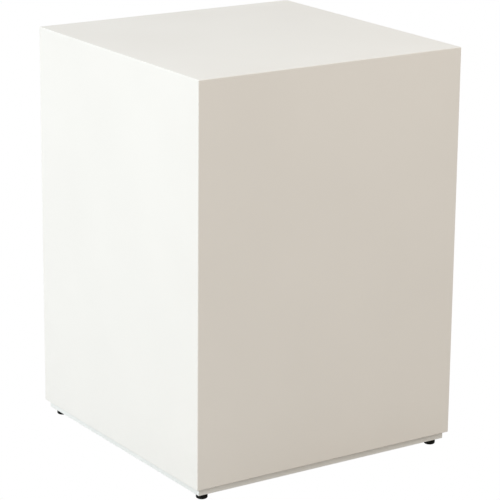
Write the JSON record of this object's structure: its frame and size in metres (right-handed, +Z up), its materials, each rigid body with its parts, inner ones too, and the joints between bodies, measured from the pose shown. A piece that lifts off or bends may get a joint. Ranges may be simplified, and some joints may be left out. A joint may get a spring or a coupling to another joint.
{
  "type": "display plinth",
  "caption": "White lacquered square display plinth, a seamless mitred box on a recessed base with black levelling feet.",
  "frame": {"origin": "on the floor, under the middle of the plinth", "axes": "+X to the right seen from the front, +Y to the rear, +Z up"},
  "size_m": [0.45, 0.45, 0.6148],
  "materials": {
    "white_lacquer": "satin white lacquer sprayed on fibreboard",
    "white_paint": "matt white paint on fibreboard",
    "softwood": "planed, unfinished",
    "zinc_steel": "bright zinc plating",
    "black_nylon": "moulded, fine matt texture"
  },
  "bodies": {
    "plinth": {"top_panel": "white_lacquer", "base_panel": "white_paint", "front_panel": "white_lacquer", "top_cleat_front": "softwood", "base_cleat_front": "softwood", "right_panel": "white_lacquer", "top_cleat_right": "softwood", "base_cleat_right": "softwood", "rear_panel": "white_lacquer", "top_cleat_rear": "softwood", "base_cleat_rear": "softwood", "left_panel": "white_lacquer", "top_cleat_left": "softwood", "base_cleat_left": "softwood", "base_screw_front_1": "zinc_steel", "base_screw_front_2": "zinc_steel", "base_screw_right_1": "zinc_steel", "base_screw_right_2": "zinc_steel", "base_screw_rear_1": "zinc_steel", "base_screw_rear_2": "zinc_steel", "base_screw_left_1": "zinc_steel", "base_screw_left_2": "zinc_steel", "corner_post_front_left": "softwood", "foot_insert_front_left": "zinc_steel", "corner_post_front_right": "softwood", "foot_insert_front_right": "zinc_steel", "corner_post_rear_right": "softwood", "foot_insert_rear_right": "zinc_steel", "corner_post_rear_left": "softwood", "foot_insert_rear_left": "zinc_steel"},
    "pad_front_left": {"foot_pad_front_left": "black_nylon"},
    "stem_front_left": {"foot_stem_front_left": "zinc_steel", "foot_grip_front_left": "black_nylon"},
    "pad_front_right": {"foot_pad_front_right": "black_nylon"},
    "stem_front_right": {"foot_stem_front_right": "zinc_steel", "foot_grip_front_right": "black_nylon"},
    "pad_rear_right": {"foot_pad_rear_right": "black_nylon"},
    "stem_rear_right": {"foot_stem_rear_right": "zinc_steel", "foot_grip_rear_right": "black_nylon"},
    "pad_rear_left": {"foot_pad_rear_left": "black_nylon"},
    "stem_rear_left": {"foot_stem_rear_left": "zinc_steel", "foot_grip_rear_left": "black_nylon"}
  },
  "joints": [
    {"name": "foot_drop_front_left", "type": "slide", "parent": "plinth", "child": "pad_front_left", "axis": [0, 0, -1], "range_m": [0, 0.01]},
    {"name": "stem_turn_front_left", "type": "hinge", "parent": "pad_front_left", "child": "stem_front_left", "pos_m": [-0.205, -0.205, 0], "axis": [0, 0, -1], "range_deg": [0, 2880]},
    {"name": "foot_drop_front_right", "type": "slide", "parent": "plinth", "child": "pad_front_right", "axis": [0, 0, -1], "range_m": [0, 0.01]},
    {"name": "stem_turn_front_right", "type": "hinge", "parent": "pad_front_right", "child": "stem_front_right", "pos_m": [0.205, -0.205, 0], "axis": [0, 0, -1], "range_deg": [0, 2880]},
    {"name": "foot_drop_rear_right", "type": "slide", "parent": "plinth", "child": "pad_rear_right", "axis": [0, 0, -1], "range_m": [0, 0.01]},
    {"name": "stem_turn_rear_right", "type": "hinge", "parent": "pad_rear_right", "child": "stem_rear_right", "pos_m": [0.205, 0.205, 0], "axis": [0, 0, -1], "range_deg": [0, 2880]},
    {"name": "foot_drop_rear_left", "type": "slide", "parent": "plinth", "child": "pad_rear_left", "axis": [0, 0, -1], "range_m": [0, 0.01]},
    {"name": "stem_turn_rear_left", "type": "hinge", "parent": "pad_rear_left", "child": "stem_rear_left", "pos_m": [-0.205, 0.205, 0], "axis": [0, 0, -1], "range_deg": [0, 2880]}
  ],
  "couplings": [
    {"joint": "stem_turn_front_left", "follows": "foot_drop_front_left", "rad_per_m": 5026.5},
    {"joint": "stem_turn_front_right", "follows": "foot_drop_front_right", "rad_per_m": 5026.5},
    {"joint": "stem_turn_rear_right", "follows": "foot_drop_rear_right", "rad_per_m": 5026.5},
    {"joint": "stem_turn_rear_left", "follows": "foot_drop_rear_left", "rad_per_m": 5026.5}
  ]
}
